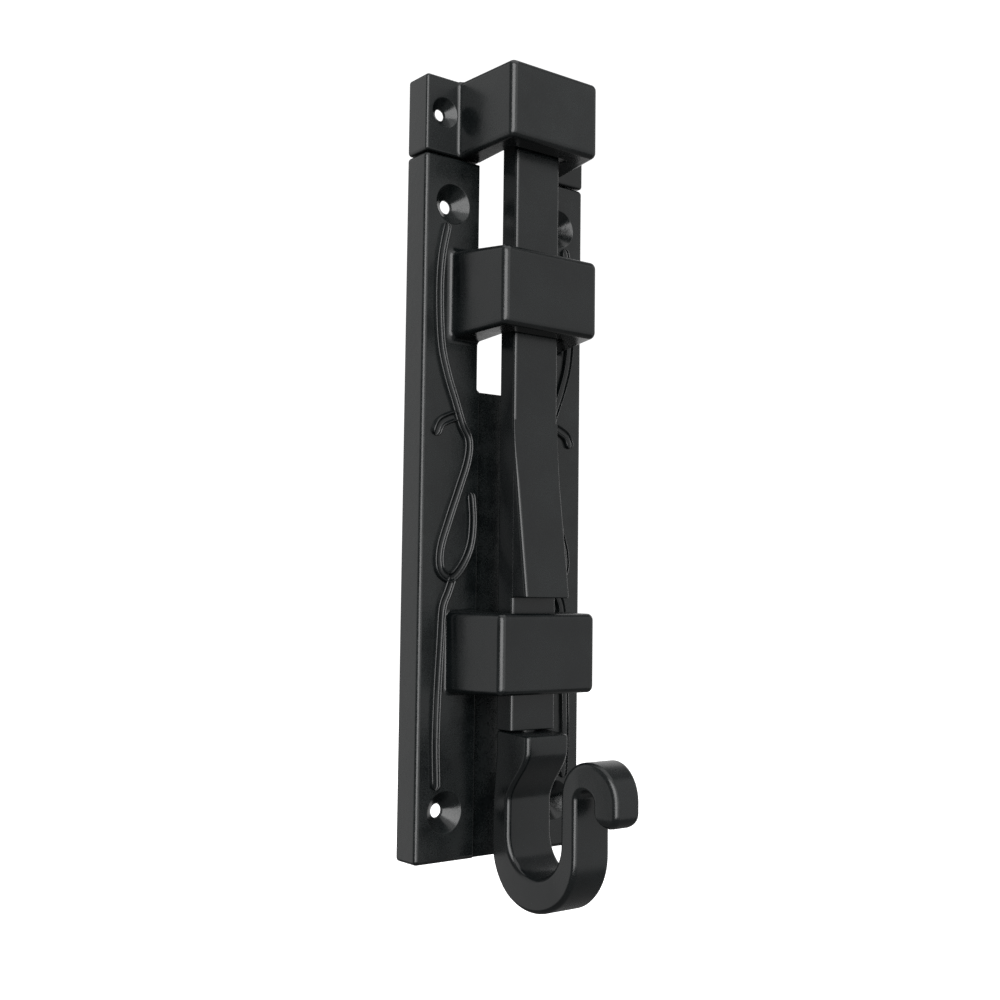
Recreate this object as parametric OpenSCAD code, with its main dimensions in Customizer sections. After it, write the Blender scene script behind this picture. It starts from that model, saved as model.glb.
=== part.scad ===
// Vertical tower bolt with a box keeper: a cast base plate carries two box guides,
// a flat bolt slides up through them into the keeper, and a curled handle moves it.
// Units are millimetres. The origin is the centre of the base plate's back face,
// +Z runs up the bolt towards the keeper and the front faces -Y.

/* [Base plate] */
// Width of the base plate
plate_w = 60; // [59:0.5:64]
// Height of the base plate
plate_h = 203; // [201:1:210]
// Depth of the base plate from its back rim to its front face
plate_t = 9.5; // [9:0.25:11]
// Thickness left at the screw holes, in front of the hollow back
web_t = 4.8; // [4.6:0.1:5.6]
// Width of the rim round the hollow back
rim_w = 3.5; // [3:0.25:4.5]
// Width of the slot that is open at the top of the plate
slot_w = 21; // [20.6:0.2:22]
// Length of the slot, from the top of the plate
slot_len = 68; // [66:0.2:70]
// Width of the sunk channel in the front, below the slot
channel_w = 19.4; // [19.2:0.1:20]
// Depth of the sunk channel
channel_d = 2; // [1.8:0.1:2.4]

/* [Screw holes] */
// Distance of the plate's screw holes from its side edges
screw_side = 9.8; // [9:0.1:10.5]
// Distance of the plate's screw holes from its ends
screw_end = 14; // [13:0.25:15]
// Diameter of the plate's screw holes
screw_d = 4; // [3.8:0.1:5]
// Diameter of the countersinks in the plate
sink_d = 11.8; // [10:0.1:12.4]
// Diameter of the keeper's screw holes
keeper_screw_d = 3.5; // [3.2:0.1:4.4]
// Diameter of the countersinks in the keeper
keeper_sink_d = 8.9; // [8:0.1:10]

/* [Guides] */
// Distance that a guide stands out from the plate
guide_d = 21.5; // [21.3:0.1:23]
// Width of a guide across its front
guide_front_w = 34.4; // [32:0.2:36]
// Width of a guide across its feet
guide_foot_w = 41.4; // [38:0.2:42]
// Height of a guide at its front
guide_front_h = 22.6; // [21:0.2:24]
// Height of the upper guide at its feet
upper_foot_h = 27.4; // [24:0.2:28]
// Height of the lower guide at its feet
lower_foot_h = 24.2; // [23:0.2:25]
// Width of the opening that the bolt slides through
opening_w = 20.4; // [20.2:0.1:20.8]
// Height of the lower guide's middle above the bottom of the plate
lower_guide_z = 59; // [58:0.5:60]
// Height of the upper guide's middle above the bottom of the plate
upper_guide_z = 162.3; // [161:0.5:164]
// Diameter of the spigots that are peened over behind the plate
spigot_d = 6; // [5:0.25:6.5]

/* [Keeper] */
// Width of the keeper's plate
keeper_w = 60; // [57:0.5:61]
// Height of the keeper
keeper_h = 22.8; // [22:0.2:25]
// Gap between the base plate and the keeper
keeper_gap = 0.4; // [0.2:0.1:1]
// Distance that the keeper's box stands out from its plate
keeper_d = 22.5; // [21.5:0.1:24]
// Width of the keeper's box across its front
keeper_front_w = 32.2; // [29:0.2:33]
// Width of the keeper's box where it meets the plate
keeper_foot_w = 38; // [36:0.2:38.4]
// Thickness of the keeper's closed top
keeper_roof = 4.7; // [3.5:0.1:5]
// Thickness left at the keeper's screw holes
keeper_web_t = 3.6; // [3.4:0.1:5]

/* [Bolt] */
// Width of the flat bolt
bar_w = 16.2; // [15:0.1:16.5]
// Thickness of the flat bolt
bar_t = 7.2; // [6.6:0.1:7.4]
// Distance of the bolt's back from the plate's front face
bar_back = 7.4; // [7:0.1:7.5]
// Height of the bolt's lower end above the bottom of the plate
bar_foot_z = 37.2; // [36.5:0.1:37.6]
// How far the bolt's tip stands past the top of the base plate
tip_past = 4; // [3:0.25:5]
// Height of the ramp's lower ledge above the bottom of the plate
ramp_ledge_z = 74.7; // [74.7:0.1:77]
// Height at which the ramp starts, above the bottom of the plate
ramp_top_z = 125.5; // [120:0.5:128]
// How far the ramp stands out from the bolt at its ledge
ramp_rise = 6.3; // [5:0.1:6.8]

/* [Curled handle] */
// Width of the handle across the front of its shoulder
neck_w = 15.2; // [14:0.1:16]
// Width of the handle's front leg
curl_w = 12.9; // [11:0.1:14]
// Width of the handle at its tip
tip_w = 8.6; // [7:0.1:10]
// Thickness of the handle's rear leg
rear_t = 7.5; // [7:0.05:8]
// Thickness at the bottom of the big bend
belly_t = 9.7; // [8.5:0.1:10.2]
// Thickness of the handle's front leg
fore_t = 6.1; // [5.8:0.1:7]
// Thickness over the top of the small bend
crown_t = 7.7; // [7:0.1:8.2]
// Thickness of the handle's tip
tip_t = 8.1; // [7:0.1:8.2]
// Inner radius of the big bend
bend_r = 10.2; // [9.9:0.1:10.4]
// Inner radius of the small bend at the tip
hook_r = 2.9; // [2.8:0.1:3.2]
// Height of the big bend's outer centre above the bottom of the plate
bend_z = 5.7; // [5.4:0.1:6.4]
// Height of the small bend's outer centre above the bottom of the plate
hook_z = 21.6; // [21:0.2:22.6]

/* [Vine relief] */
// Width of the raised vine
vine_w = 2.6; // [1.8:0.1:2.8]
// Height of the raised vine above the plate
vine_h = 1.1; // [0.8:0.1:1.4]

/* [Hidden] */

$fn = 64;
eps = 0.01;
iron = [0.07, 0.075, 0.08];
iron_worn = [0.11, 0.115, 0.12];
face_y = -plate_t;                          // the plate's front face
edge = 1.2;                                 // chamfer on the castings' outer edges
sink_depth = (sink_d - screw_d) / 2;
keeper_sink_depth = (keeper_sink_d - keeper_screw_d) / 2;
screw_x = plate_w / 2 - screw_side;
screw_z = plate_h / 2 - screw_end;
keeper_screw_x = 23.6;
neck_slope = 0.9;                           // how far the shoulder's top falls to its front
front_wall = 6.5;                           // wall in front of the bolt
opening_d = guide_d - front_wall;           // the opening's depth from the plate
spigot_x = (opening_w / 2 + guide_foot_w / 2) / 2;
spigot_flare = 1.5;                         // depth of the peened heads behind
spigot_head_d = spigot_d + 2 * spigot_flare;
boss_h = 24;                                // solid plate behind a guide's feet
keeper_z0 = plate_h / 2 + keeper_gap;
keeper_draft_low = 1.3;                     // rise of the box's lower side to its front
keeper_draft_high = 0.9;                    // rise of its upper side
bar_front_y = face_y - bar_back - bar_t;
bar_back_y = face_y - bar_back;
tenon_d = 5.6;
tenon_len = 8;
pin_d = 4;
shoe_gap = 0.3;                             // running clearance beside a shoe
shoe_depth_gap = 0.4;                       // running clearance behind the lower shoe
upper_shoe_h = 16;
lower_shoe_h = 15;
leg_back_y = face_y - 6;                    // back of the handle's rear leg
leg_front_y = leg_back_y - rear_t;
big_r = bend_r + (rear_t + fore_t) / 2;     // outer radius of the big bend
small_r = hook_r + (fore_t + tip_t) / 2;    // outer radius of the small bend
bend_y = leg_back_y - big_r;
loop_y = leg_front_y - bend_r;              // centre of the big bend's inner side
loop_z = bend_z - big_r + belly_t + bend_r;
fore_y = loop_y - bend_r;                   // inner face of the handle's front leg
hook_y = fore_y - small_r;
eye_y = fore_y - fore_t - hook_r;           // centre of the small bend's inner side
eye_z = hook_z + small_r - crown_t - hook_r;
neck_front_y = face_y - 21.5;
sweep_z0 = 17;                              // where the shoulder's sweep ends
sweep_z1 = 32.5;                            // and where it starts
hook_drop = 2.7;                            // straight part under the small bend

// Control points of a vine, as [distance from the middle, height above the bottom]
stem_upper = [[22.3, 183], [24.4, 173], [25, 162], [24.2, 148], [21.9, 139], [18.8, 131],
              [16.4, 124.8], [13.9, 120], [14.4, 114], [17.4, 105.5], [20.6, 97], [23.4, 88.5],
              [23.2, 82.6], [19.6, 80.3], [16, 83.4], [12.9, 89.6], [12.1, 97], [12.8, 105]];
stem_lower = [[18.8, 80.6], [20.6, 76], [22.4, 71.4], [23, 62], [23.7, 49], [24.1, 34], [23.6, 20.5]];
tendril = [[17.4, 127.2], [21, 126], [23.9, 124.2], [25.4, 120.8]];

// Catmull-Rom point between the points b and c
function curve_point(a, b, c, d, t) =
    0.5 * (2 * b + (c - a) * t + (2 * a - 5 * b + 4 * c - d) * t * t
           + (3 * b - a - 3 * c + d) * t * t * t);

// A smooth line through the control points, with n steps between two of them
function smooth_line(p, n) = [
    for (i = [0 : len(p) - 2])
        for (k = [0 : n - 1])
            curve_point(p[max(i - 1, 0)], p[i], p[i + 1], p[min(i + 2, len(p) - 1)], k / n),
    p[len(p) - 1]
];

// The line's unit normal at point i
function line_normal(p, i) =
    let (a = p[max(i - 1, 0)], b = p[min(i + 1, len(p) - 1)], d = b - a)
    [-d[1], d[0]] / norm(d);

// Half the ribbon's width along the line, tapered to its ends
function half_width(i, n) = vine_w / 2 * min(1, 0.45 + 0.2 * min(i, n - i));

function ribbon_side(p, s) = [
    for (i = [0 : len(p) - 1]) p[i] + s * half_width(i, len(p) - 1) * line_normal(p, i)
];

function reversed(v) = [for (i = [len(v) - 1 : -1 : 0]) v[i]];

// Height above the bottom of the plate, as a height in the part's frame
function above(z) = z - plate_h / 2;

module raise(z) {
    translate([0, 0, above(z)])
        children();
}

// Lays a drawing of x and z flat on a plane of constant y, with its thickness to the front
module stand(y) {
    translate([0, y, 0])
        rotate([90, 0, 0])
            children();
}

// Extrudes a drawing of y and z along x, centred
module across(w) {
    translate([-w / 2, 0, 0])
        rotate([90, 0, 90])
            linear_extrude(height = w)
                children();
}

// A cylinder along y, from y0 to y1
module cross_pin(x, z, d, y0, y1) {
    translate([x, y0, z])
        rotate([-90, 0, 0])
            cylinder(d = d, h = y1 - y0);
}

module cross_cone(x, z, d0, d1, y0, y1) {
    translate([x, y0, z])
        rotate([-90, 0, 0])
            cylinder(d1 = d0, d2 = d1, h = y1 - y0);
}

// A countersunk screw hole, from the front face to the back
module screw_hole(x, z, hole, sink, depth) {
    cross_pin(x, z, hole, face_y - 1, 1);
    cross_cone(x, z, sink + 2 * eps, hole, face_y - eps, face_y + depth);
}

// A rectangle of x and z with its corners cut off
module cut_rect(x0, x1, z0, z1, c) {
    polygon([[x0 + c, z0], [x1 - c, z0], [x1, z0 + c], [x1, z1 - c],
             [x1 - c, z1], [x0 + c, z1], [x0, z1 - c], [x0, z0 + c]]);
}

// A plate from the back plane to the front face, its front edges chamfered
module cast_plate(w, z0, z1, c) {
    intersection() {
        translate([0, 0, z0])
            linear_extrude(height = z1 - z0)
                polygon([[-w / 2, 0], [-w / 2, face_y + c], [-w / 2 + c, face_y],
                         [w / 2 - c, face_y], [w / 2, face_y + c], [w / 2, 0]]);
        across(w)
            polygon([[0, z0], [face_y + c, z0], [face_y, z0 + c],
                     [face_y, z1 - c], [face_y + c, z1], [0, z1]]);
    }
}

// One hollow in the back, between heights z0 and z1 above the bottom
module back_hollow(x0, x1, z0, z1) {
    translate([0, face_y + web_t, 0])
        rotate([-90, 0, 0])
            mirror([0, 1, 0])
                linear_extrude(height = plate_t)
                    cut_rect(x0, x1, above(z0), above(z1), 1.5);
}

module back_hollows() {
    inner = slot_w / 2 + 2.5;
    outer = plate_w / 2 - rim_w;
    low = lower_guide_z - boss_h / 2;
    high = upper_guide_z - boss_h / 2;
    for (side = [0, 1])
        mirror([side, 0, 0]) {
            back_hollow(inner, outer, rim_w, low);
            back_hollow(inner, outer, low + boss_h, high);
            back_hollow(inner, outer, high + boss_h, plate_h - rim_w);
        }
}

module spigot_holes(z) {
    for (x = [-spigot_x, spigot_x]) {
        cross_pin(x, above(z), spigot_d, face_y - 1, 1);
        cross_cone(x, above(z), spigot_d, spigot_head_d, -spigot_flare, 0);
        cross_pin(x, above(z), spigot_head_d, 0, 1);
    }
}

module base_plate() {
    color(iron)
        difference() {
            cast_plate(plate_w, above(0), above(plate_h), edge * 0.8);
            translate([-slot_w / 2, face_y - 1, above(plate_h - slot_len)])
                cube([slot_w, plate_t + 2, slot_len + 1]);
            translate([-channel_w / 2, face_y - 1, above(-1)])
                cube([channel_w, channel_d + 1, plate_h - slot_len + 1 + eps]);
            back_hollows();
            for (x = [-screw_x, screw_x])
                for (z = [-screw_z, screw_z])
                    screw_hole(x, z, screw_d, sink_d, sink_depth);
            spigot_holes(lower_guide_z);
            spigot_holes(upper_guide_z);
        }
}

module vine_stroke(points, steps) {
    p = smooth_line(points, steps);
    stand(face_y)
        translate([0, above(0), 0])
            linear_extrude(height = vine_h)
                polygon(concat(ribbon_side(p, 1), reversed(ribbon_side(p, -1))));
}

module vine() {
    union() {
        vine_stroke(stem_upper, 4);
        vine_stroke(stem_lower, 4);
        vine_stroke(tendril, 4);
    }
}

module left_vine() {
    color(iron_worn)
        mirror([1, 0, 0])
            vine();
}

module right_vine() {
    color(iron_worn)
        vine();
}

// A drafted box that stands out from the plate, its front edges chamfered
module drafted_box(foot_w, front_w, depth, z_foot, z_front) {
    front_y = face_y - depth;
    side_slope = (foot_w - front_w) / 2 / depth;
    intersection() {
        translate([0, 0, z_foot[0] - 5])
            linear_extrude(height = z_foot[1] - z_foot[0] + 10)
                polygon([[-foot_w / 2, face_y], [foot_w / 2, face_y],
                         [front_w / 2 + side_slope * edge, front_y + edge],
                         [front_w / 2 - edge, front_y], [-front_w / 2 + edge, front_y],
                         [-front_w / 2 - side_slope * edge, front_y + edge]]);
        across(foot_w)
            polygon([[face_y, z_foot[0]], [front_y + edge, z_front[0]],
                     [front_y, z_front[0] + edge], [front_y, z_front[1] - edge],
                     [front_y + edge, z_front[1]], [face_y, z_foot[1]]]);
    }
}

module box_guide(z, foot_h) {
    zc = above(z);
    difference() {
        drafted_box(guide_foot_w, guide_front_w, guide_d,
                    [zc - foot_h / 2, zc + foot_h / 2],
                    [zc - guide_front_h / 2, zc + guide_front_h / 2]);
        translate([-opening_w / 2, face_y - opening_d, zc - 20])
            cube([opening_w, opening_d + 1, 40]);
    }
    for (x = [-spigot_x, spigot_x]) {
        cross_pin(x, zc, spigot_d, face_y - eps, -spigot_flare);
        cross_cone(x, zc, spigot_d, spigot_head_d, -spigot_flare, 0);
    }
}

module upper_guide() {
    color(iron)
        box_guide(upper_guide_z, upper_foot_h);
}

module lower_guide() {
    color(iron)
        box_guide(lower_guide_z, lower_foot_h);
}

module keeper() {
    z0 = keeper_z0;
    z1 = keeper_z0 + keeper_h;
    hole_z = (z0 + z1) / 2 + 0.8;
    color(iron)
        difference() {
            union() {
                cast_plate(keeper_w, z0, z1, edge * 0.8);
                drafted_box(keeper_foot_w, keeper_front_w, keeper_d,
                            [z0, z1], [z0 + keeper_draft_low, z1 + keeper_draft_high]);
            }
            translate([-opening_w / 2, face_y - opening_d - 0.7, z0 - 1])
                cube([opening_w, opening_d + plate_t + 2, keeper_h - keeper_roof + 1]);
            for (side = [0, 1])
                mirror([side, 0, 0]) {
                    screw_hole(keeper_screw_x, hole_z, keeper_screw_d, keeper_sink_d,
                               keeper_sink_depth);
                    translate([keeper_foot_w / 2 + 0.3, face_y + keeper_web_t, z0 + rim_w])
                        cube([keeper_w / 2 - keeper_foot_w / 2 - 0.3 - rim_w, plate_t,
                              keeper_h - 2 * rim_w]);
                }
        }
}

// The flat bolt's tip is slightly bevelled so that it finds the keeper
module bolt_bar() {
    tip_z = above(plate_h + tip_past);
    foot_z = above(bar_foot_z);
    mid_y = bar_back_y - bar_t / 2;
    lead = 1;
    color(iron)
        difference() {
            union() {
                intersection() {
                    across(bar_w)
                        polygon([[bar_back_y, foot_z], [bar_front_y, foot_z],
                                 [bar_front_y, tip_z - lead], [bar_front_y + lead, tip_z],
                                 [bar_back_y - lead, tip_z], [bar_back_y, tip_z - lead]]);
                    stand(0)
                        linear_extrude(height = 60)
                            cut_rect(-bar_w / 2, bar_w / 2, foot_z - 2, tip_z, lead);
                }
                translate([0, mid_y, foot_z - tenon_len])
                    cylinder(d = tenon_d, h = tenon_len + 1);
            }
            for (z = ramp_pin_heights())
                cross_pin(0, above(z), pin_d, bar_front_y - 1, bar_back_y + 1);
            for (z = shoe_pin_heights())
                cross_pin(0, above(z), pin_d, bar_back_y - 5, bar_back_y + 1);
        }
}

function ramp_pin_heights() = [ramp_ledge_z + 6, ramp_ledge_z + 20];
function shoe_pin_heights() = [
    for (z = [lower_guide_z, upper_guide_z], s = [-1, 1]) z + 1 + s * 4
];

module ramp_block() {
    ledge = above(ramp_ledge_z);
    top = above(ramp_top_z);
    nose_y = bar_front_y - ramp_rise;
    color(iron)
        difference() {
            across(bar_w)
                polygon([[bar_front_y, ledge], [nose_y + 0.6, ledge], [nose_y, ledge + 0.6],
                         [bar_front_y - 0.3, top], [bar_front_y, top]]);
            for (z = ramp_pin_heights())
                cross_pin(0, above(z), pin_d, bar_front_y - 2.6, bar_front_y + 1);
        }
}

module ramp_pins() {
    color(iron_worn)
        for (z = ramp_pin_heights())
            cross_pin(0, above(z), pin_d, bar_front_y - 2.6, bar_back_y);
}

module upper_shoe() {
    shoe(slot_w - 2 * shoe_gap - 0.6, upper_guide_z, upper_shoe_h, face_y + web_t);
}

module lower_shoe() {
    shoe(channel_w - 2 * shoe_gap, lower_guide_z, lower_shoe_h,
         face_y + channel_d - shoe_depth_gap);
}

// A block behind the bolt that keeps it forward in its guide
module shoe(w, z, h, y1) {
    color(iron_worn)
        difference() {
            translate([-w / 2, bar_back_y, above(z + 1) - h / 2])
                cube([w, y1 - bar_back_y, h]);
            for (s = [-1, 1])
                cross_pin(0, above(z + 1 + s * 4), pin_d, bar_back_y - 1, y1 + 1);
        }
}

module shoe_pins() {
    low_y = face_y + channel_d - shoe_depth_gap;
    high_y = face_y + web_t;
    color(iron_worn)
        for (s = [-1, 1]) {
            cross_pin(0, above(lower_guide_z + 1 + s * 4), pin_d, bar_back_y - 5, low_y);
            cross_pin(0, above(upper_guide_z + 1 + s * 4), pin_d, bar_back_y - 5, high_y);
        }
}

// Points along an arc about [y, z], from angle a0 to a1, with n steps
function arc(y, z, r, a0, a1, n) = [
    for (i = [0 : n])
        let (a = a0 + (a1 - a0) * i / n)
        [y + r * cos(a), z + r * sin(a)]
];

// The shoulder's front, which sweeps from the rear leg out to the neck
function shoulder_sweep(n) =
    [for (i = [0 : n])
        let (t = i / n, s = (1 - cos(180 * t)) / 2)
        [leg_front_y + (neck_front_y - leg_front_y) * s,
         above(sweep_z0 + (sweep_z1 - sweep_z0) * t)]];

// Outline in y and z: down the back, round the big bend, up and over the tip and back
module curl_profile() {
    tip_y = eye_y - hook_r - tip_t / 2;
    polygon(concat(
        [[bar_back_y, above(bar_foot_z)], [bar_back_y, above(bar_foot_z - 7)],
         [leg_back_y, above(sweep_z0)]],
        arc(bend_y, above(bend_z), big_r, 0, -180, 40),
        arc(eye_y, above(eye_z), hook_r, 0, 180, 16),
        arc(tip_y, above(hook_z - hook_drop), tip_t / 2, 0, -180, 16),
        arc(hook_y, above(hook_z), small_r, 180, 0, 32),
        arc(loop_y, above(loop_z), bend_r, -180, 0, 32),
        shoulder_sweep(12),
        [[neck_front_y, above(bar_foot_z - neck_slope - 0.8)],
         [neck_front_y + 0.8, above(bar_foot_z - neck_slope)],
         [bar_front_y, above(bar_foot_z)]]));
}

// Plan of the handle: as wide as the bolt at its back, narrow at the tip
module curl_plan() {
    front_y = hook_y - small_r;
    polygon([[-bar_w / 2, 0], [-bar_w / 2, leg_front_y], [-neck_w / 2, neck_front_y],
             [-curl_w / 2, fore_y], [-curl_w / 2, fore_y - fore_t], [-tip_w / 2, front_y],
             [tip_w / 2, front_y], [curl_w / 2, fore_y - fore_t], [curl_w / 2, fore_y],
             [neck_w / 2, neck_front_y], [bar_w / 2, leg_front_y], [bar_w / 2, 0]]);
}

module curl_handle() {
    mid_y = bar_back_y - bar_t / 2;
    color(iron)
        difference() {
            intersection() {
                across(bar_w)
                    curl_profile();
                translate([0, 0, above(-30)])
                    linear_extrude(height = 90)
                        curl_plan();
            }
            translate([0, mid_y, above(bar_foot_z) - tenon_len])
                cylinder(d = tenon_d, h = tenon_len + 1);
        }
}

base_plate();
left_vine();
right_vine();
upper_guide();
lower_guide();
keeper();
bolt_bar();
ramp_block();
ramp_pins();
upper_shoe();
lower_shoe();
shoe_pins();
curl_handle();
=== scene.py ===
import math

import bmesh
import bpy
from mathutils import Matrix, Vector


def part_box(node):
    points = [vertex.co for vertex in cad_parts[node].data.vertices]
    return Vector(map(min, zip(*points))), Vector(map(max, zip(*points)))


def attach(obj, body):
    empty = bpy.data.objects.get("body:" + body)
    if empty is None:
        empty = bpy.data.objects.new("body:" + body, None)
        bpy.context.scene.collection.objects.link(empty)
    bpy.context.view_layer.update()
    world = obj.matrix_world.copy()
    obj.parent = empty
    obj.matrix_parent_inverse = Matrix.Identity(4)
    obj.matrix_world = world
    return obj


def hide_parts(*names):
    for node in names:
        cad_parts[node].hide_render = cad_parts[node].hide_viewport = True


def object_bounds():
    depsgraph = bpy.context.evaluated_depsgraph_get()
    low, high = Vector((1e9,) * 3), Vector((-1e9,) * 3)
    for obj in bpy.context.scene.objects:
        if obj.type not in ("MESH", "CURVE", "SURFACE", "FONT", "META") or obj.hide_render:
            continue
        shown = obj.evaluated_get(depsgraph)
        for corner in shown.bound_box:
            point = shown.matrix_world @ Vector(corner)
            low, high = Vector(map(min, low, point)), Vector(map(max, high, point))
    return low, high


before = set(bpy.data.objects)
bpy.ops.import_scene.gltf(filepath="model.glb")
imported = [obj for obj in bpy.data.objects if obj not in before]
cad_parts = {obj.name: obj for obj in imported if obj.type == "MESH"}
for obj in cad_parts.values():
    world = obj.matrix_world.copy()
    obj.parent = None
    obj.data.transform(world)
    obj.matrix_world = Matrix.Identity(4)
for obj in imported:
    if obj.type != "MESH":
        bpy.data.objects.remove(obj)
cadLow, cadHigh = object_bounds()
print("frame loaded with", len(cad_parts), "nodes")

mm = 0.001       # meshes are drawn in millimetres and become metres when they are finished
arcSteps = 6     # flats in each rounded corner
turnSteps = 56   # flats round a drilled or turned shape


# rings, lofts and cuts

def nodeBox(node):
    low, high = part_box(node)
    return low / mm, high / mm


plateLow, plateHigh = nodeBox("base_plate")
faceY = plateLow.y      # the plate's front face
footZ = plateLow.z      # the plate's lower end, from which heights are counted
topZ = plateHigh.z


def roundedCorners(halfWide, halfHigh, radius, lowRadius=None):
    # a rounded rectangle about the middle, as (across, up) pairs
    largest = min(halfWide, halfHigh) - 0.02
    radii = [max(0.02, min(r, largest)) for r in (radius, radius if lowRadius is None else lowRadius)]
    points = []
    for sideU, sideV, start in ((1, 1, 0), (-1, 1, 90), (-1, -1, 180), (1, -1, 270)):
        r = radii[0] if sideV > 0 else radii[1]
        for step in range(arcSteps + 1):
            turn = math.radians(start + 90 * step / arcSteps)
            points.append((sideU * (halfWide - r) + r * math.cos(turn),
                           sideV * (halfHigh - r) + r * math.sin(turn)))
    return points


def ringFacing(y, halfWide, lowZ, highZ, radius):
    # a ring that lies in a plane of constant y
    midZ = (lowZ + highZ) / 2
    return [(u, y, midZ + v) for u, v in roundedCorners(halfWide, (highZ - lowZ) / 2, radius)]


def ringLevel(z, halfWide, frontY, backY, radius, frontRadius=None):
    # a ring that lies level
    midY = (frontY + backY) / 2
    corners = roundedCorners(halfWide, (backY - frontY) / 2, radius, frontRadius)
    return [(u, midY + v, z) for u, v in corners]


def roundOver(radius, steps=arcSteps):
    # (inset, depth) pairs from the edge of a flat face down to its side
    turns = [math.radians(90 * step / steps) for step in range(steps + 1)]
    return [(radius * (1 - math.sin(turn)), radius * (1 - math.cos(turn))) for turn in turns]


def asObject(name, shape):
    bmesh.ops.recalc_face_normals(shape, faces=shape.faces)
    mesh = bpy.data.meshes.new(name)
    shape.to_mesh(mesh)
    shape.free()
    piece = bpy.data.objects.new(name, mesh)
    bpy.context.scene.collection.objects.link(piece)
    return piece


def loft(name, rings):
    # skins a row of rings and closes both ends
    shape = bmesh.new()
    rows = [[shape.verts.new(point) for point in ring] for ring in rings]
    for near, far in zip(rows, rows[1:]):
        for i in range(len(near)):
            j = (i + 1) % len(near)
            shape.faces.new((near[i], near[j], far[j], far[i]))
    shape.faces.new(rows[0][::-1])
    shape.faces.new(rows[-1])
    return asObject(name, shape)


def turned(name, profile, x, z):
    # a shape turned about a line along y, from (radius, y) pairs
    rings = []
    for radius, y in profile:
        turns = [2 * math.pi * step / turnSteps for step in range(turnSteps)]
        rings.append([(x + radius * math.cos(t), y, z + radius * math.sin(t)) for t in turns])
    return loft(name, rings)


def combine(piece, others, operation="DIFFERENCE"):
    for other in others:
        modifier = piece.modifiers.new("combine", "BOOLEAN")
        modifier.operation = operation
        modifier.solver = "EXACT"
        modifier.object = other
    graph = bpy.context.evaluated_depsgraph_get()
    result = bpy.data.meshes.new_from_object(piece.evaluated_get(graph))
    piece.modifiers.clear()
    piece.data = result
    for other in others:
        bpy.data.objects.remove(other)
    return piece


def softenEdges(piece, radius, chosen, steps=3):
    # rounds the sharp edges whose middle passes the test, and leaves the rest alone
    shape = bmesh.new()
    shape.from_mesh(piece.data)
    picked = []
    for edge in shape.edges:
        middle = (edge.verts[0].co + edge.verts[1].co) / 2
        if len(edge.link_faces) == 2 and edge.calc_face_angle() > 0.6 and chosen(middle):
            picked.append(edge)
    bmesh.ops.bevel(shape, geom=picked, offset=radius, offset_type="OFFSET",
                    segments=steps, profile=0.5, affect="EDGES", clamp_overlap=False)
    shape.to_mesh(piece.data)
    shape.free()


def finishPiece(piece, body, nodes, finish):
    mesh = piece.data
    mesh.transform(Matrix.Scale(mm, 4))
    mesh.materials.clear()
    mesh.materials.append(finish)
    for face in mesh.polygons:
        face.use_smooth = True
        face.material_index = 0
    mesh.set_sharp_from_angle(angle=math.radians(48))
    shading = piece.modifiers.new("evenShading", "WEIGHTED_NORMAL")
    shading.keep_sharp = True
    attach(piece, body)
    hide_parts(*nodes)
    return piece


# finishes: one black coating over differently made iron, with the keeper's tint made paler as painted
# light

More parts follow.
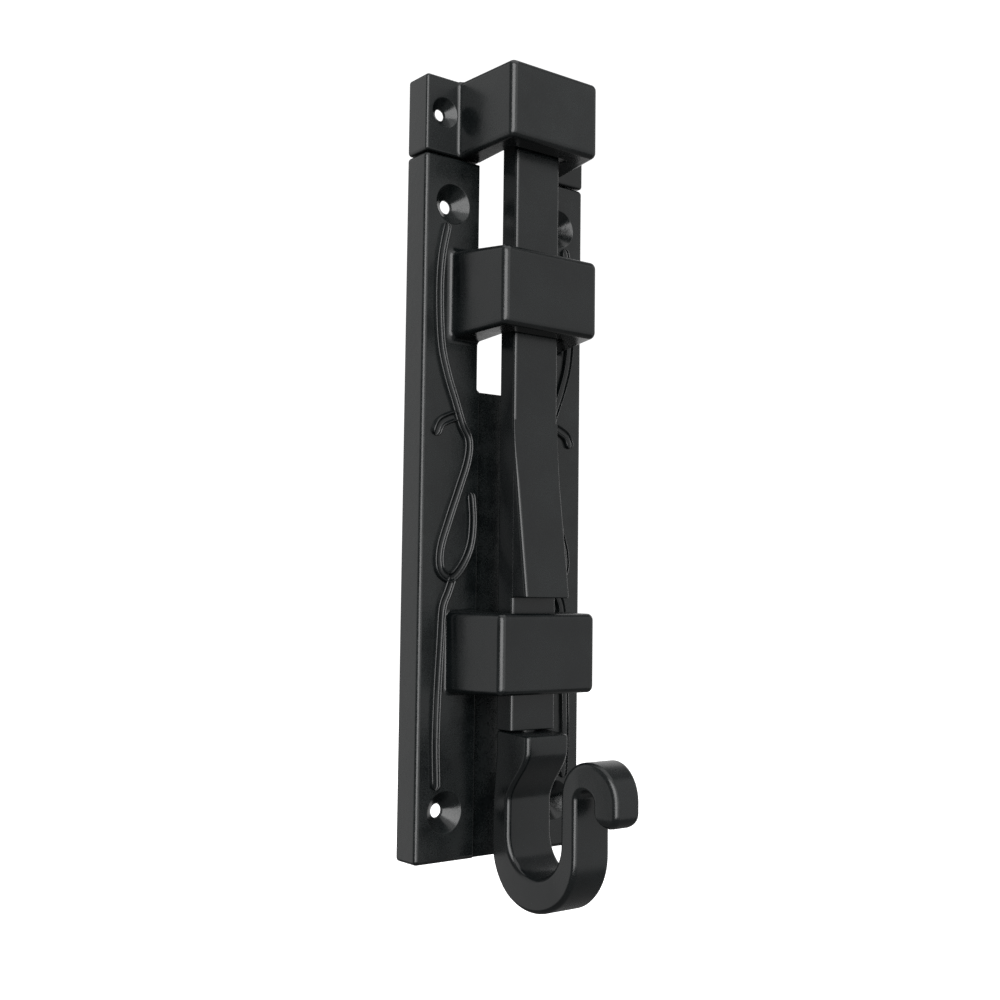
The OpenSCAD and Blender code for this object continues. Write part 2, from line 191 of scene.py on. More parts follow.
def coatedIron(name, look):
    material = bpy.data.materials.new(name)
    material.use_nodes = True
    nodes = material.node_tree.nodes
    links = material.node_tree.links
    shader = nodes["Principled BSDF"]
    shader.inputs["Metallic"].default_value = 0.0
    shader.inputs["IOR"].default_value = 1.5
    shader.inputs["Specular IOR Level"].default_value = look["gloss"]
    place = nodes.new("ShaderNodeTexCoord").outputs["Object"]

    def noise(size, detail, roughness):
        node = nodes.new("ShaderNodeTexNoise")
        node.inputs["Scale"].default_value = 1 / (size * mm)
        node.inputs["Detail"].default_value = detail
        node.inputs["Roughness"].default_value = roughness
        links.new(place, node.inputs["Vector"])
        return node.outputs["Fac"]

    def remap(source, low, high, start=0.3, end=0.7):
        node = nodes.new("ShaderNodeMapRange")
        node.inputs["From Min"].default_value = start
        node.inputs["From Max"].default_value = end
        node.inputs["To Min"].default_value = low
        node.inputs["To Max"].default_value = high
        links.new(source, node.inputs["Value"])
        return node.outputs["Result"]

    cloud = noise(look["cloudSize"], 4, 0.55)
    grain = noise(look["grainSize"], 3, 0.6)
    swell = noise(look["swellSize"], 2, 0.5)
    peel = noise(look["peelSize"], 2, 0.5)

    tones = nodes.new("ShaderNodeValToRGB")
    tones.color_ramp.elements[0].position = 0.32
    tones.color_ramp.elements[1].position = 0.68
    tones.color_ramp.elements[0].color = (*look["darkTint"], 1)
    tones.color_ramp.elements[1].color = (*look["paleTint"], 1)
    links.new(cloud, tones.inputs["Fac"])
    specks = nodes.new("ShaderNodeMix")
    specks.data_type = "RGBA"
    specks.blend_type = "MULTIPLY"
    specks.inputs["Factor"].default_value = 1.0
    links.new(tones.outputs["Color"], specks.inputs["A"])
    shade = nodes.new("ShaderNodeCombineColor")
    grainShade = remap(grain, 1 - look["grainContrast"], 1 + look["grainContrast"])
    for channel in ("Red", "Green", "Blue"):
        links.new(grainShade, shade.inputs[channel])
    links.new(shade.outputs["Color"], specks.inputs["B"])
    links.new(specks.outputs["Result"], shader.inputs["Base Color"])

    sheen = nodes.new("ShaderNodeMath")
    sheen.operation = "ADD"
    links.new(remap(cloud, look["smoothest"], look["roughest"]), sheen.inputs[0])
    links.new(remap(grain, -look["sheenGrain"], look["sheenGrain"]), sheen.inputs[1])
    links.new(sheen.outputs["Value"], shader.inputs["Roughness"])

    previous = None
    for source, depth in ((swell, look["swellDepth"]), (peel, look["peelDepth"]),
                          (grain, look["grainDepth"])):
        bump = nodes.new("ShaderNodeBump")
        bump.inputs["Strength"].default_value = 1.0
        bump.inputs["Distance"].default_value = depth * mm
        links.new(source, bump.inputs["Height"])
        if previous:
            links.new(previous.outputs["Normal"], bump.inputs["Normal"])
        previous = bump
    links.new(previous.outputs["Normal"], shader.inputs["Normal"])
    return material


castLook = {
    "darkTint": (0.0028, 0.0039, 0.0043),
    "paleTint": (0.0054, 0.0071, 0.0075),
    "gloss": 0.5,
    "smoothest": 0.20,
    "roughest": 0.30,
    "sheenGrain": 0.05,
    "cloudSize": 14.0,
    "grainSize": 0.45,
    "grainContrast": 0.3,
    "grainDepth": 0.010,
    "peelSize": 1.6,
    "peelDepth": 0.035,
    "swellSize": 9.0,
    "swellDepth": 0.10,
}

plateFinish = coatedIron("sandCastBlack", {**castLook, "darkTint": (0.0032, 0.0044, 0.0047),
                                          "paleTint": (0.0078, 0.0098, 0.0100),
                                          "grainContrast": 0.45, "roughest": 0.33,
                                          "cloudSize": 9.0})
guideFinish = coatedIron("dressedCastBlack", {**castLook, "peelDepth": 0.012, "grainDepth": 0.003})
# the keeper's tints are set paler than the other cast iron: painted light that lifts its flange, which
# the hood's side leaves in shade
keeperPaintedLightFinish = coatedIron("keeperCastBlackPaintedLight", {**castLook, "darkTint": (0.0042, 0.0055, 0.0058),
                                              "paleTint": (0.0086, 0.0107, 0.0110),
                                              "peelDepth": 0.018, "grainContrast": 0.4})
vineFinish = coatedIron("reliefBlack", {**castLook, "peelSize": 1.1, "peelDepth": 0.02})
barFinish = coatedIron("groundBarBlack", {**castLook, "peelDepth": 0.006, "grainDepth": 0.001,
                                          "swellDepth": 0.06})
handleFinish = coatedIron("curledStripBlack", {**castLook, "peelDepth": 0.015,
                                               "grainDepth": 0.003})
pinFinish = coatedIron("peenedPinBlack", {**castLook, "peelDepth": 0.01, "grainDepth": 0.003})
print("finishes ready")


# base plate

basePlate = {
    "frontEdge": 1.3,
    "backEdge": 0.5,
    "corner": 1.3,
    "slotHalf": 10.5,
    "slotLength": 68.0,
    "slotLip": 0.5,
    "slotCorner": 0.8,
    "channelHalf": 9.7,
    "channelDepth": 2.0,
    "channelLip": 0.45,
    "channelFillet": 0.5,
    "channelCorner": 0.4,
    "channelEndEdge": 0.35,
    "screwX": 20.2,
    "screwFromEnd": 14.0,
    "screwRadius": 2.0,
    "sinkRadius": 5.9,
    "webThick": 4.8,
    "hollowX": (13.0, 26.5),
    "hollowHeights": ((3.5, 47.0), (71.0, 150.3), (174.3, 199.5)),
    "hollowCorner": 2.2,
    "hollowFillet": 1.2,
    "spigotX": 15.45,
    "spigotHeights": (59.0, 162.3),
    "spigotRadius": 3.0,
    "spigotHead": 4.5,
    "spigotFlare": 1.5,
    "spigotGap": 0.02,
}


def castSlab(name, halfWide, lowZ, highZ, frontEdge, backEdge, corner):
    # a plate with its front edges well rounded and its back edges just broken
    rings = []
    for inset, depth in roundOver(frontEdge):
        rings.append(ringFacing(faceY + depth, halfWide - inset, lowZ + inset, highZ - inset,
                                corner - inset * 0.8))
    for inset, depth in reversed(roundOver(backEdge)):
        rings.append(ringFacing(-depth, halfWide - inset, lowZ + inset, highZ - inset, corner))
    return loft(name, rings)


def flaredCut(name, lowX, highX, lowZ, highZ, corner, profile):
    # a cutter through y whose outline grows by each (growth, y) pair
    rings = []
    midX = (lowX + highX) / 2
    for growth, y in profile:
        ring = ringFacing(y, (highX - lowX) / 2 + growth, lowZ - growth, highZ + growth,
                          corner + growth)
        rings.append([(midX + u, v, w) for u, v, w in ring])
    return loft(name, rings)


def sinkCut(x, z, holeRadius, sinkRadius, lip=0.45, throat=0.5):
    # a countersunk hole with a softened rim and throat, each turning through 45 degrees
    half = math.tan(math.radians(22.5))
    rimX = sinkRadius + lip * half
    boreY = faceY + (sinkRadius - holeRadius) + throat * half
    profile = [(rimX, faceY - 1)]
    for step in range(5):
        turn = math.radians(45 * step / 4)
        profile.append((rimX - lip * math.sin(turn), faceY + lip * (1 - math.cos(turn))))
    for step in range(5):
        turn = math.radians(45 + 45 * step / 4)
        profile.append((holeRadius + throat * (1 - math.sin(turn)), boreY - throat * math.cos(turn)))
    profile.append((holeRadius, 1))
    return turned("sinkCut", profile, x, z)


def hollowCut(lowX, highX, lowZ, highZ, floorY, corner, fillet, rim=0.4):
    # a hollow in the back, its rim eased and its floor filleted
    profile = [(rim, 1)]
    for inset, depth in roundOver(rim, 3):
        profile.append((inset, -depth))
    for step in range(6):
        turn = math.radians(90 * step / 5)
        profile.append((-fillet * (1 - math.cos(turn)), floorY + fillet * (1 - math.sin(turn))))
    return flaredCut("hollowCut", lowX, highX, lowZ, highZ, corner, profile)


def makeBasePlate():
    size = basePlate
    slab = castSlab("castPlate", plateHigh.x, footZ, topZ, size["frontEdge"], size["backEdge"],
                    size["corner"])
    cuts = []
    slotZ = topZ - size["slotLength"]

    channelProfile = [(size["channelLip"], faceY - 1)]
    for inset, depth in roundOver(size["channelLip"], 4):
        channelProfile.append((inset, faceY + depth))
    floorY = faceY + size["channelDepth"]
    fillet = size["channelFillet"]
    for step in range(5):
        turn = math.radians(90 * step / 4)
        channelProfile.append((-fillet * (1 - math.cos(turn)), floorY - fillet * (1 - math.sin(turn))))
    cuts.append(flaredCut("channelCut", -size["channelHalf"], size["channelHalf"], footZ - 6,
                          slotZ + 4, size["channelCorner"], channelProfile))

    slotProfile = [(size["slotLip"], faceY - 1)]
    for inset, depth in roundOver(size["slotLip"], 4):
        slotProfile.append((inset, faceY + depth))
    for inset, depth in reversed(roundOver(size["slotLip"], 4)):
        slotProfile.append((inset, -depth))
    slotProfile.append((size["slotLip"], 1))
    cuts.append(flaredCut("slotCut", -size["slotHalf"], size["slotHalf"], slotZ, topZ + 6,
                          size["slotCorner"], slotProfile))

    for side in (-1, 1):
        for z in (footZ + size["screwFromEnd"], topZ - size["screwFromEnd"]):
            cuts.append(sinkCut(side * size["screwX"], z, size["screwRadius"], size["sinkRadius"]))
        for low, high in size["hollowHeights"]:
            edges = sorted(side * x for x in size["hollowX"])
            cuts.append(hollowCut(edges[0], edges[1], footZ + low, footZ + high,
                                  faceY + size["webThick"], size["hollowCorner"],
                                  size["hollowFillet"]))
        for height in size["spigotHeights"]:
            boreRadius = size["spigotRadius"] + size["spigotGap"]
            profile = [(boreRadius, faceY - 1), (boreRadius, -size["spigotFlare"]),
                       (size["spigotHead"] + 0.12, -0.15), (size["spigotHead"] + 0.3, 1)]
            cuts.append(turned("spigotCut", profile, side * size["spigotX"], footZ + height))
    combine(slab, cuts)
    softenEdges(slab, size["channelEndEdge"], lambda p: abs(p.z - slotZ) < 0.01
                and abs(p.y - floorY) < 0.01 and abs(p.x) < size["channelHalf"])
    finishPiece(slab, "fixed", ["base_plate"], plateFinish)


makeBasePlate()
print("base plate made")


# vine relief: a raised bead that wanders up each side

vineBead = {
    "halfWidth": 1.6,
    "height": 1.15,
    "sunk": 0.15,
    # half of the section, from the foot to the groove along the middle: across as a share of
    # the half width, up as a share of the height
    "section": ((1.12, 0.0), (1.06, 0.25), (0.99, 0.55), (0.92, 0.8), (0.84, 0.95), (0.76, 1.0),
                (0.68, 0.97), (0.6, 0.86), (0.52, 0.68), (0.44, 0.5), (0.33, 0.38), (0.15, 0.34)),
    "endRound": 1.3,
    "stepsBetween": 8,
    # distance from the plate's middle and height above its foot
    "climbingStem": ((22.3, 183), (24.4, 173), (25, 162), (24.2, 148), (21.9, 139), (18.8, 131),
                     (16.4, 124.8), (13.9, 120), (14.4, 114), (17.4, 105.5), (20.6, 97),
                     (23.4, 88.5), (23.2, 82.6), (19.6, 80.3), (16, 83.4), (12.9, 89.6),
                     (12.1, 97), (12.8, 105)),
    "lowerStem": ((18.8, 80.6), (20.6, 76), (22.4, 71.4), (23, 62), (23.7, 49), (24.1, 34),
                  (23.6, 20.5)),
    "tendril": ((17.4, 127.2), (21, 126), (23.9, 124.2), (25.4, 120.8)),
}


def smoothLine(points, stepsBetween):
    line = []
    for i in range(len(points) - 1):
        a = Vector(points[max(i - 1, 0)])
        b = Vector(points[i])
        c = Vector(points[i + 1])
        d = Vector(points[min(i + 2, len(points) - 1)])
        for step in range(stepsBetween):
            t = step / stepsBetween
            line.append(0.5 * (2 * b + (c - a) * t + (2 * a - 5 * b + 4 * c - d) * t * t
                               + (3 * b - a - 3 * c + d) * t ** 3))
    line.append(Vector(points[-1]))
    return line


def beadStroke(points, side):
    size = vineBead
    line = smoothLine(points, size["stepsBetween"])
    lengths = [0.0]
    for a, b in zip(line, line[1:]):
        lengths.append(lengths[-1] + (b - a).length)
    rings = []
    for i, point in enumerate(line):
        ahead = line[min(i + 1, len(line) - 1)] - line[max(i - 1, 0)]
        normal = Vector((-ahead.y, ahead.x)).normalized()
        fromEnd = min(lengths[i], lengths[-1] - lengths[i], size["endRound"]) / size["endRound"]
        share = max(0.25, math.sqrt(1 - (1 - fromEnd) ** 2))
        wide = size["halfWidth"] * share
        tall = size["height"] * (0.35 + 0.65 * share)
        ring = []
        half = [(size["section"][0][0], -size["sunk"] / tall), *size["section"]]
        for across, up in [(-a, b) for a, b in half] + half[::-1]:
            spot = point + normal * across * wide
            ring.append((side * spot.x, faceY - up * tall, footZ + spot.y))
        rings.append(ring)
    return loft("beadStroke", rings)


def makeVine(name, node, side):
    size = vineBead
    bead = beadStroke(size["climbingStem"], side)
    bead.name = name
    combine(bead, [beadStroke(size["lowerStem"], side), beadStroke(size["tendril"], side)], "UNION")
    finishPiece(bead, "fixed", [node], vineFinish)


makeVine("vineLeft", "left_vine", -1)
makeVine("vineRight", "right_vine", 1)
print("vines made")


# guides: drafted boxes that the bolt slides through

guideBox = {
    "frontHalf": 17.2,
    "frontTall": 22.6,
    "footHalf": 20.5,
    "frontEdge": 1.9,
    "corner": 1.8,
    "openingHalf": 10.2,
    "openingDeep": 15.0,
    "openingCorner": 1.2,
    "openingLip": 0.6,
    "footTall": {"upper_guide": 25.6, "lower_guide": 23.4},
    "footFillet": {"upper_guide": 1.5, "lower_guide": 0.7},
}


def draftedBox(name, frontY, foot, front, edge, corner, fillet, filletTall):
    # foot and front are (half width, low z, high z), and the sides run straight between them
    def at(y):
        share = (y - frontY) / (faceY - frontY)
        return [front[i] + (foot[i] - front[i]) * share for i in range(3)]

    rings = []
    for inset, depth in roundOver(edge):
        half, low, high = at(frontY + depth)
        rings.append(ringFacing(frontY + depth, half - inset, low + inset, high - inset,
                                max(corner - inset * 0.6, 0.3)))
    for step in range(arcSteps + 1):
        turn = math.radians(90 * step / arcSteps)
        rise = fillet * (1 - math.sin(turn))
        grow = fillet * (1 - math.cos(turn))
        half, low, high = at(faceY - rise)
        growTall = grow * filletTall
        rings.append(ringFacing(faceY - rise, half + grow, low - growTall, high + growTall, corner))
    half, low, high = at(faceY)
    rings.append(ringFacing(faceY + 0.06, half + fillet, low - fillet * filletTall,
                            high + fillet * filletTall, corner))
    return loft(name, rings), at


def channelThrough(name, half, frontY, backY, corner, ends):
    # a cutter along z, whose ends are (growth, height at a given y) pairs
    rings = []
    for growth, heightAt in ends:
        ring = ringLevel(0, half + growth, frontY - growth, backY, corner + growth)
        rings.append([(x, y, heightAt(y)) for x, y, z in ring])
    return loft(name, rings)


def makeGuide(name, node):
    size = guideBox
    low, high = nodeBox(node)
    midZ = (low.z + high.z) / 2
    footHalfTall = size["footTall"][node] / 2
    frontHalfTall = size["frontTall"] / 2
    box, at = draftedBox(name, low.y,
                         (size["footHalf"], midZ - footHalfTall, midZ + footHalfTall),
                         (size["frontHalf"], midZ - frontHalfTall, midZ + frontHalfTall),
                         size["frontEdge"], size["corner"], size["footFillet"][node], 1)
    lip = size["openingLip"]
    ends = [(lip, lambda y: at(y)[1] - 4)]
    for inset, depth in roundOver(lip, 4):
        ends.append((inset, lambda y, depth=depth: at(y)[1] + depth))
    for inset, depth in reversed(roundOver(lip, 4)):
        ends.append((inset, lambda y, depth=depth: at(y)[2] - depth))
    ends.append((lip, lambda y: at(y)[2] + 4))
    combine(box, [channelThrough("openingCut", size["openingHalf"], faceY - size["openingDeep"],
                                 faceY + 5, size["openingCorner"], ends)])
    spigots = []
    for side in (-1, 1):
        plate = basePlate
        profile = [(plate["spigotRadius"], faceY - 1), (plate["spigotRadius"], -plate["spigotFlare"]),
                   (plate["spigotHead"], -0.35), (plate["spigotHead"] - 0.25, -0.15),
                   (plate["spigotHead"] - 1.1, -0.03), (1.2, 0)]
        spigots.append(turned("spigot", profile, side * plate["spigotX"], midZ))
    combine(box, spigots, "UNION")
    finishPiece(box, "fixed", [node], guideFinish)


makeGuide("guideUpper", "upper_guide")
makeGuide("guideLower", "lower_guide")
print("guides made")


# keeper

keeperBox = {
    "plateEdge": 0.9,
    "backEdge": 0.5,
    "plateCorner": 1.0,
    "footHalf": 18.4,
    "frontHalf": 16.1,
    "lowerDraft": 1.3,
    "upperDraft": 0.9,
    "edge": 1.95,
    "corner": 1.7,
    "footFillet": 1.2,
    "roof": 4.7,
    "socketHalf": 10.2,
    "socketDeep": 15.7,
    "socketLip": 0.7,
    "socketCorner": 1.2,
    "socketEndRound": 1.0,
    "screwX": 23.6,
    "screwRise": 0.8,
    "screwRadius": 1.75,
    "sinkRadius": 4.45,
    "webThick": 3.6,
    "hollowX": (17.9, 26.5),
    "hollowFromEnd": 3.5,
    "hollowCorner": 1.5,
    "hollowFillet": 0.8,
}


def makeKeeper():
    size = keeperBox
    low, high = nodeBox("keeper")
    lowZ = low.z
    highZ = high.z - size["upperDraft"]
    slab = castSlab("keeper", high.x, lowZ, highZ, size["plateEdge"], size["backEdge"],
                    size["plateCorner"])
    box, at = draftedBox("keeperHood", low.y, (size["footHalf"], lowZ, highZ),
                         (size["frontHalf"], lowZ + size["lowerDraft"], highZ + size["upperDraft"]),
                         size["edge"], size["corner"], size["footFillet"], 0)
    combine(slab, [box], "UNION")
    lip = size["socketLip"]
    ends = [(lip, lambda y: at(y)[1] - 4)]
    for inset, depth in roundOver(lip, 4):
        ends.append((inset, lambda y, depth=depth: at(min(y, faceY))[1] + depth))
    roofZ = highZ - size["roof"]
    endRound = size["socketEndRound"]
    for inset, depth in reversed(roundOver(endRound, 4)):
        ends.append((depth - endRound, lambda y, inset=inset: roofZ - inset))
    cuts = [channelThrough("socketCut", size["socketHalf"], faceY - size["socketDeep"], 5,
                           size["socketCorner"], ends)]
    for side in (-1, 1):
        cuts.append(sinkCut(side * size["screwX"], (lowZ + highZ) / 2 + size["screwRise"],
                            size["screwRadius"], size["sinkRadius"]))
        edges = sorted(side * x for x in size["hollowX"])
        cuts.append(hollowCut(edges[0], edges[1], lowZ + size["hollowFromEnd"],
                              highZ - size["hollowFromEnd"], faceY + size["webThick"],
                              size["hollowCorner"], size["hollowFillet"]))
    combine(slab, cuts)
    finishPiece(slab, "fixed", ["keeper"], keeperPaintedLightFinish)


makeKeeper()
print("keeper made")


# bolt: a flat bar with a ramp pinned to its front

flatBar = {
    "halfWidth": 8.1,
    "thick": 7.2,
    "edge": 1.1,
    "seamEdge": 0.05,        # under the ramp, where the two lie flush
    "endEdge": 1.0,
    "footEdge": 0.4,
    "seamHeights": (0.1, 15.0, 0.5),   # half the step at the ledge, then the blend below the top
    "tenonRadius": 2.8,
    "tenonTip": 2.3,
    "tenonLength": 8.0,
}

barLow, barHigh = nodeBox("bolt_bar")
barFront = barLow.y
barBack = barFront + flatBar["thick"]
barFoot = barLow.z + flatBar["tenonLength"]


def makeBar():
    size = flatBar
    rampLow, rampHigh = nodeBox("ramp_block")
    rings = []
    for inset, depth in roundOver(size["footEdge"], 3):
        rings.append(ringLevel(barFoot + depth, size["halfWidth"] - inset, barFront + inset,
                               barBack - inset, size["edge"]))
    halfStep, blendStart, blendEnd = size["seamHeights"]
    seam = ((rampLow.z - halfStep, size["edge"]), (rampLow.z + halfStep, size["seamEdge"]),
            (rampHigh.z - blendStart, size["seamEdge"]), (rampHigh.z - blendEnd, size["edge"]))
    for z, frontEdge in seam:
        rings.append(ringLevel(z, size["halfWidth"], barFront, barBack, size["edge"], frontEdge))
    for inset, depth in reversed(roundOver(size["endEdge"])):
        rings.append(ringLevel(barHigh.z - depth, size["halfWidth"] - inset, barFront + inset,
                               barBack - inset, size["edge"]))
    bar = loft("boltBar", rings)
    midY = (barFront + barBack) / 2
    tenon = []
    for radius, z in ((size["tenonTip"], barLow.z), (size["tenonRadius"], barLow.z + 0.5),
                      (size["tenonRadius"], barFoot + 2)):
        turns = [2 * math.pi * step / turnSteps for step in range(turnSteps)]
        tenon.append([(radius * math.cos(t), midY + radius * math.sin(t), z) for t in turns])
    combine(bar, [loft("tenon", tenon)], "UNION")
    finishPiece(bar, "bolt", ["bolt_bar"], barFinish)


makeBar()

rampBlock = {
    "halfWidth": 8.08,
    "ease": 0.1,             # share of the length over which the ramp leaves the bar
    "edge": 1.1,
    "ledgeEdge": 0.5,
    "sunk": 0.4,
}


def makeRamp():
    size = rampBlock
    low, high = nodeBox("ramp_block")

    def noseAt(z):
        share = (high.z - z) / (high.z - low.z)
        ease = size["ease"]
        rise = share * share / (4 * ease) if share < 2 * ease else share - ease
        return barFront + (low.y - barFront) * rise / (1 - ease)

    rings = []
    for inset, depth in roundOver(size["ledgeEdge"], 4):
        z = low.z + depth
        rings.append(ringLevel(z, size["halfWidth"] - inset, noseAt(z) + inset,
                               barFront + size["sunk"], 0.05, size["edge"]))
    for step in range(1, 25):
        z = low.z + size["ledgeEdge"] + (high.z - low.z - size["ledgeEdge"]) * step / 24
        rings.append(ringLevel(z, size["halfWidth"], noseAt(z), barFront + size["sunk"],
                               0.05, size["edge"]))
    ramp = loft("rampBlock", rings)
    finishPiece(ramp, "bolt", ["ramp_block"], barFinish)


makeRamp()
print("bolt bar and ramp made")


# curled handle

curledHandle = {
    "backHalf": 8.1,
    "neckHalf": 7.6,
    "curlHalf": 6.45,
    "tipHalf": 4.3,
    "rearThick": 7.5,
    "bellyThick": 9.7,
    "foreThick": 6.1,
    "crownThick": 7.7,
    "tipThick": 8.1,
    "bendInner": 10.2,
    "hookInner": 2.9,
    "bendHeight": 5.7,
    "hookHeight": 21.6,
    "sweepHeights": (17.0, 32.5),
    "neckDrop": 7.0,
    "neckFront": 21.5,       # in front of the plate's face
    "legBack": 6.0,
    "tipDrop": 2.7,
    "shoulderFall": 0.9,     # from the bar's foot to the shoulder's front
    "edge": 1.5,
    "shoulderEdge": 0.8,
}


def makeHandle():
    size = curledHandle
    low, high = nodeBox("curl_handle")
    legBackY = faceY - size["legBack"]
    legFrontY = legBackY - size["rearThick"]
    bendOuter = size["bendInner"] + (size["rearThick"] + size["foreThick"]) / 2
    hookOuter = size["hookInner"] + (size["foreThick"] + size["tipThick"]) / 2
    bendY = legBackY - bendOuter
    loopY = legFrontY - size["bendInner"]
    foreY = loopY - size["bendInner"]
    foreFrontY = foreY - size["foreThick"]
    hookY = foreY - hookOuter
    eyeY = foreFrontY - size["hookInner"]
    neckY = faceY - size["neckFront"]
    bendZ = footZ + size["bendHeight"]
    loopZ = bendZ - bendOuter + size["bellyThick"] + size["bendInner"]
    hookZ = footZ + size["hookHeight"]
    eyeZ = hookZ + hookOuter - size["crownThick"] - size["hookInner"]
    sweepLow, sweepHigh = (footZ + height for height in size["sweepHeights"])

    def halfWidthAt(y):
        stops = ((0, size["backHalf"]), (legFrontY, size["backHalf"]), (neckY, size["neckHalf"]),
                 (foreY, size["curlHalf"]), (foreFrontY, size["curlHalf"]),
                 (low.y, size["tipHalf"]), (-200, size["tipHalf"]))
        for (nearY, nearHalf), (farY, farHalf) in zip(stops, stops[1:]):
            if y >= farY:
                return nearHalf + (farHalf - nearHalf) * (nearY - y) / (nearY - farY)

    def onArc(y, z, radius, degrees):
        return Vector((y + radius * math.cos(math.radians(degrees)),
                       z + radius * math.sin(math.radians(degrees))))

    # pairs of points on the outline, back or outer side first, from the shoulder to the tip
    stations = []
    shoulderZ = high.z
    neckZ = shoulderZ - size["neckDrop"]
    for share in (0, 0.25, 0.5, 0.75, 1):
        z = shoulderZ - (shoulderZ - sweepHigh) * share
        fall = size["shoulderFall"] * (1 - share)
        stations.append((Vector((barBack, z)), Vector((neckY, z - fall))))
    sweepSteps = 18
    for step in range(1, sweepSteps + 1):
        share = step / sweepSteps
        frontZ = sweepHigh + (sweepLow - sweepHigh) * share
        backZ = frontZ
        slide = (1 - math.cos(math.pi * (1 - share))) / 2
        frontY = legFrontY + (neckY - legFrontY) * slide
        lean = min(1, max(0, (neckZ - backZ) / (neckZ - sweepLow)))
        stations.append((Vector((barBack + (legBackY - barBack) * lean, backZ)),
                         Vector((frontY, frontZ))))
    for share in (0.25, 0.5, 0.75):
        stations.append((Vector((legBackY, sweepLow + (bendZ - sweepLow) * share)),
                         Vector((legFrontY, sweepLow + (loopZ - sweepLow) * share))))
    bendSteps = 36
    for step in range(bendSteps + 1):
        degrees = -180 * step / bendSteps
        stations.append((onArc(bendY, bendZ, bendOuter, degrees),
                         onArc(loopY, loopZ, size["bendInner"], degrees)))
    for share in (0.25, 0.5, 0.75):
        stations.append((Vector((foreFrontY, bendZ + (eyeZ - bendZ) * share)),
                         Vector((foreY, loopZ + (hookZ - loopZ) * share))))
    hookSteps = 30
    for step in range(hookSteps + 1):
        degrees = 180 * step / hookSteps
        stations.append((onArc(eyeY, eyeZ, size["hookInner"], degrees),
                         onArc(hookY, hookZ, hookOuter, degrees)))
    tipZ = hookZ - size["tipDrop"]
    for share in (0.5, 1):
        stations.append((Vector((eyeY - size["hookInner"], eyeZ + (tipZ - eyeZ) * share)),
                         Vector((hookY - hookOuter, hookZ + (tipZ - hookZ) * share))))

    def section(outer, inner, trim, sideTrim, edge):
        across = inner - outer
        deep = across.length
        middle = (outer + inner) / 2
        along = across / deep
        half = halfWidthAt(middle.x)
        ring = []
        for u, v in roundedCorners(half - sideTrim, deep / 2 - trim, edge):
            spot = middle + along * v
            ring.append((u * halfWidthAt(spot.x) / half, spot.x, spot.y))
        return ring

    rings = []
    for inset, depth in roundOver(size["shoulderEdge"], 4)[:-1]:
        outer, inner = stations[0]
        drop = Vector((0, -depth))
        rings.append(section(outer + drop, inner + drop, inset, inset, size["edge"]))
    for outer, inner in stations:
        if outer.y < shoulderZ - size["shoulderEdge"] + 0.01 or len(rings) > 6:
            rings.append(section(outer, inner, 0, 0, size["edge"]))
    tipRound = size["tipThick"] / 2
    outer, inner = stations[-1]
    for step in range(1, 10):
        turn = math.radians(86 * step / 9)
        drop = Vector((0, -tipRound * math.sin(turn)))
        trim = tipRound * (1 - math.cos(turn))
        rings.append(section(outer + drop, inner + drop, trim, trim * 0.55, size["edge"]))
    handle = loft("curledHandle", rings)
    finishPiece(handle, "bolt", ["curl_handle"], handleFinish)


makeHandle()
print("handle made")


# shoes and pins stay as the frame has them, with their edges broken

def keepNode(node, finish, edge):
    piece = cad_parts[node]
    piece.data.materials.clear()
    piece.data.materials.append(finish)
    bevel = piece.modifiers.new("brokenEdges", "BEVEL")
    bevel.width = edge * mm
    bevel.segments = 2
    bevel.limit_method = "ANGLE"
    bevel.angle_limit = math.radians(40)


keepNode("upper_shoe", barFinish, 0.4)
keepNode("lower_shoe", barFinish, 0.4)
keepNode("ramp_pins", pinFinish, 0.3)
keepNode("shoe_pins", pinFinish, 0.3)
print("shoes and pins finished")


# studio

studio = {
    "walls": 0.30,           # brightness between the panels
    "ground": 0.22,          # brightness below
    "floorDrop": 0.06,
    "floorSize": 6.0,
    "distance": 1.6,
    "backdrop": 1.1,         # brightness that the camera sees behind the object
    "fade": (-0.5, 0.15),    # heights between which the ground fades into the walls
    "floorTone": (0.9, 0.9, 0.9, 1),
    "floorRoughness": 0.9,
    "floorGlow": 0.9,
}

# name, direction round the object, elevation, half angle across, half angle up, brightness
softPanels = (
    ("keyPanel", -44, 8, 19, 34, 5.2),
    ("centrePanel", -6, 8, 19, 36, 1.15),
    ("frontPanel", 44, 6, 32, 36, 0.44),
    ("backLeftPanel", -139, 6, 24, 36, 0.62),
    ("rimPanel", 122, 8, 22, 30, 0.6),
    ("overheadPanel", -10, 78, 30, 30, 1.1),
)


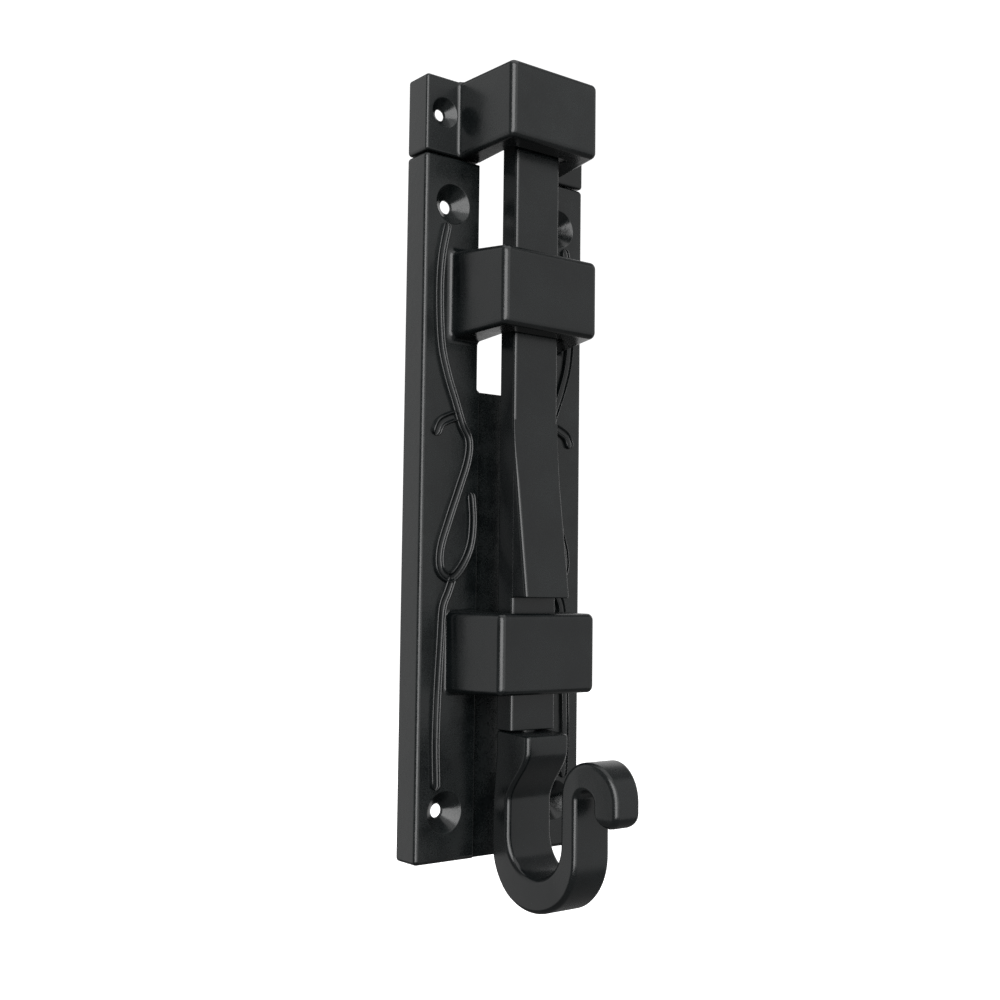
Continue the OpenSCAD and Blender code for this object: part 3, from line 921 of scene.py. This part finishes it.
def makeStudio():
    scene = bpy.context.scene
    scene.view_settings.view_transform = "Standard"
    world = bpy.data.worlds.new("studioWalls")
    scene.world = world
    world.use_nodes = True
    nodes = world.node_tree.nodes
    links = world.node_tree.links
    nodes.clear()
    output = nodes.new("ShaderNodeOutputWorld")
    seen = nodes.new("ShaderNodeBackground")
    seen.inputs["Color"].default_value = (1, 1, 1, 1)
    seen.inputs["Strength"].default_value = studio["backdrop"]
    walls = nodes.new("ShaderNodeBackground")
    place = nodes.new("ShaderNodeTexCoord")
    split = nodes.new("ShaderNodeSeparateXYZ")
    ramp = nodes.new("ShaderNodeMapRange")
    ramp.interpolation_type = "SMOOTHSTEP"
    ramp.inputs["From Min"].default_value = studio["fade"][0]
    ramp.inputs["From Max"].default_value = studio["fade"][1]
    ramp.inputs["To Min"].default_value = studio["ground"]
    ramp.inputs["To Max"].default_value = studio["walls"]
    links.new(place.outputs["Generated"], split.inputs["Vector"])
    links.new(split.outputs["Z"], ramp.inputs["Value"])
    links.new(ramp.outputs["Result"], walls.inputs["Strength"])
    path = nodes.new("ShaderNodeLightPath")
    choose = nodes.new("ShaderNodeMixShader")
    links.new(path.outputs["Is Camera Ray"], choose.inputs["Fac"])
    links.new(walls.outputs["Background"], choose.inputs[1])
    links.new(seen.outputs["Background"], choose.inputs[2])
    links.new(choose.outputs["Shader"], output.inputs["Surface"])

    middle = (cadLow + cadHigh) / 2
    distance = studio["distance"]
    for name, azimuth, elevation, halfAcross, halfUp, brightness in softPanels:
        lamp = bpy.data.lights.new(name, "AREA")
        lamp.shape = "RECTANGLE"
        lamp.size = 2 * distance * math.tan(math.radians(halfAcross))
        lamp.size_y = 2 * distance * math.tan(math.radians(halfUp))
        lamp.energy = brightness * math.pi * lamp.size * lamp.size_y
        lightObject = bpy.data.objects.new(name, lamp)
        a = math.radians(azimuth)
        e = math.radians(elevation)
        back = Vector((math.sin(a) * math.cos(e), -math.cos(a) * math.cos(e), math.sin(e)))
        lightObject.location = middle + back * distance
        lightObject.rotation_euler = back.to_track_quat("Z", "Y").to_euler()
        scene.collection.objects.link(lightObject)

    floorZ = cadLow.z - studio["floorDrop"]
    half = studio["floorSize"] / 2
    shape = bmesh.new()
    corners = [shape.verts.new((x, y, floorZ)) for x, y in
               ((-half, -half), (half, -half), (half, half), (-half, half))]
    shape.faces.new(corners)
    floor = asObject("paleFloor", shape)
    pale = bpy.data.materials.new("paleFloor")
    pale.use_nodes = True
    paper = pale.node_tree.nodes["Principled BSDF"]
    paper.inputs["Base Color"].default_value = studio["floorTone"]
    paper.inputs["Roughness"].default_value = studio["floorRoughness"]
    paper.inputs["Emission Color"].default_value = (1, 1, 1, 1)
    paper.inputs["Emission Strength"].default_value = studio["floorGlow"]
    floor.data.materials.append(pale)
    floor.visible_diffuse = False
    floor.visible_glossy = False


makeStudio()

viewpoint = {
    "azimuth": -37.888,
    "pitch": 4.160,
    "roll": 0.699,
    "distance": 385.6,
    "lens": 46.923,
    "aim": (-1.594, 0.0, 103.439),   # across, in front of the face, above the plate's foot
}


def makeCamera():
    size = viewpoint
    a = math.radians(size["azimuth"])
    p = math.radians(size["pitch"])
    r = math.radians(size["roll"])
    forward = Vector((-math.sin(a) * math.cos(p), math.cos(a) * math.cos(p), math.sin(p)))
    level = forward.cross(Vector((0, 0, 1))).normalized()
    upright = level.cross(forward)
    right = level * math.cos(r) + upright * math.sin(r)
    up = upright * math.cos(r) - level * math.sin(r)
    aim = Vector((size["aim"][0], faceY - size["aim"][1], footZ + size["aim"][2]))
    place = (aim - forward * size["distance"]) * mm
    data = bpy.data.cameras.new("camera")
    data.lens = size["lens"]
    data.sensor_width = 36
    data.clip_start = 0.01
    camera = bpy.data.objects.new("camera", data)
    camera.matrix_world = Matrix(((right.x, up.x, -forward.x, place.x),
                                  (right.y, up.y, -forward.y, place.y),
                                  (right.z, up.z, -forward.z, place.z),
                                  (0, 0, 0, 1)))
    bpy.context.scene.collection.objects.link(camera)
    bpy.context.scene.camera = camera


makeCamera()
print("studio and camera ready")

bpy.context.view_layer.update()
